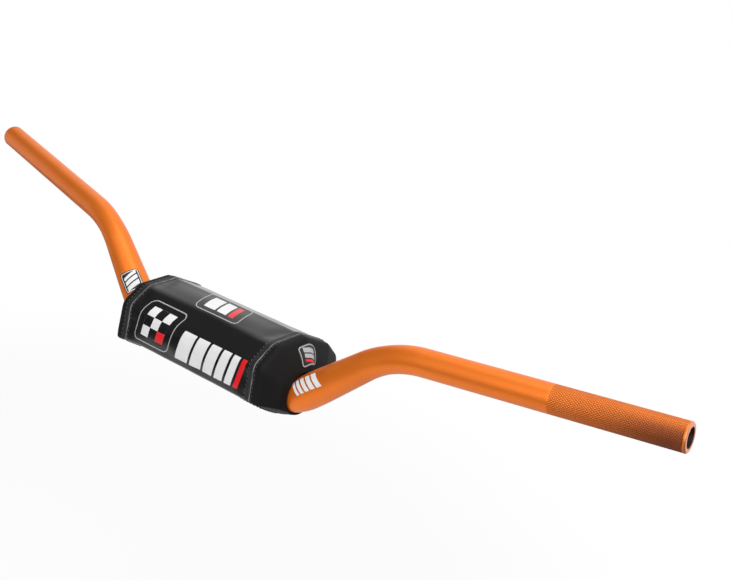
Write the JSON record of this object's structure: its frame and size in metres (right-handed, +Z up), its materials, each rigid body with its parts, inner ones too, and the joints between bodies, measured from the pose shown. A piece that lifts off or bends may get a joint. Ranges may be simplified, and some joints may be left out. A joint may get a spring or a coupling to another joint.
{
  "type": "motocross handlebar",
  "caption": "tapered alloy motocross handlebar with a sewn foam pad over its oversize clamp zone, knurled left grip seat and open bar ends",
  "frame": {"origin": "on the tube's axis, in the middle of the clamp zone", "axes": "+X to the rider's left, -Y to the front of the bike, +Z up; the grips sweep to +Y and rise to +Z"},
  "size_m": [0.8148, 0.1033, 0.1161],
  "materials": {
    "anodised_tube": "satin",
    "foam": "matte",
    "gloss_vinyl": "gloss",
    "matt_cover": "matte",
    "binding_tape": "satin",
    "webbing": "matte",
    "loop_tape": "matte",
    "hook_tape": "matte"
  },
  "bodies": {
    "root": {"handlebar_tube": "anodised_tube", "foam_core": "foam", "cover_wrap": "gloss_vinyl", "cover_back": "matt_cover", "end_panel_left": "matt_cover", "end_panel_right": "matt_cover", "seam_binding_left": "binding_tape", "seam_binding_right": "binding_tape", "closure_strap_left": "webbing", "closure_strap_right": "webbing", "loop_tape_left": "loop_tape", "loop_tape_right": "loop_tape", "hook_tape_left": "hook_tape", "hook_tape_right": "hook_tape"}
  },
  "joints": []
}
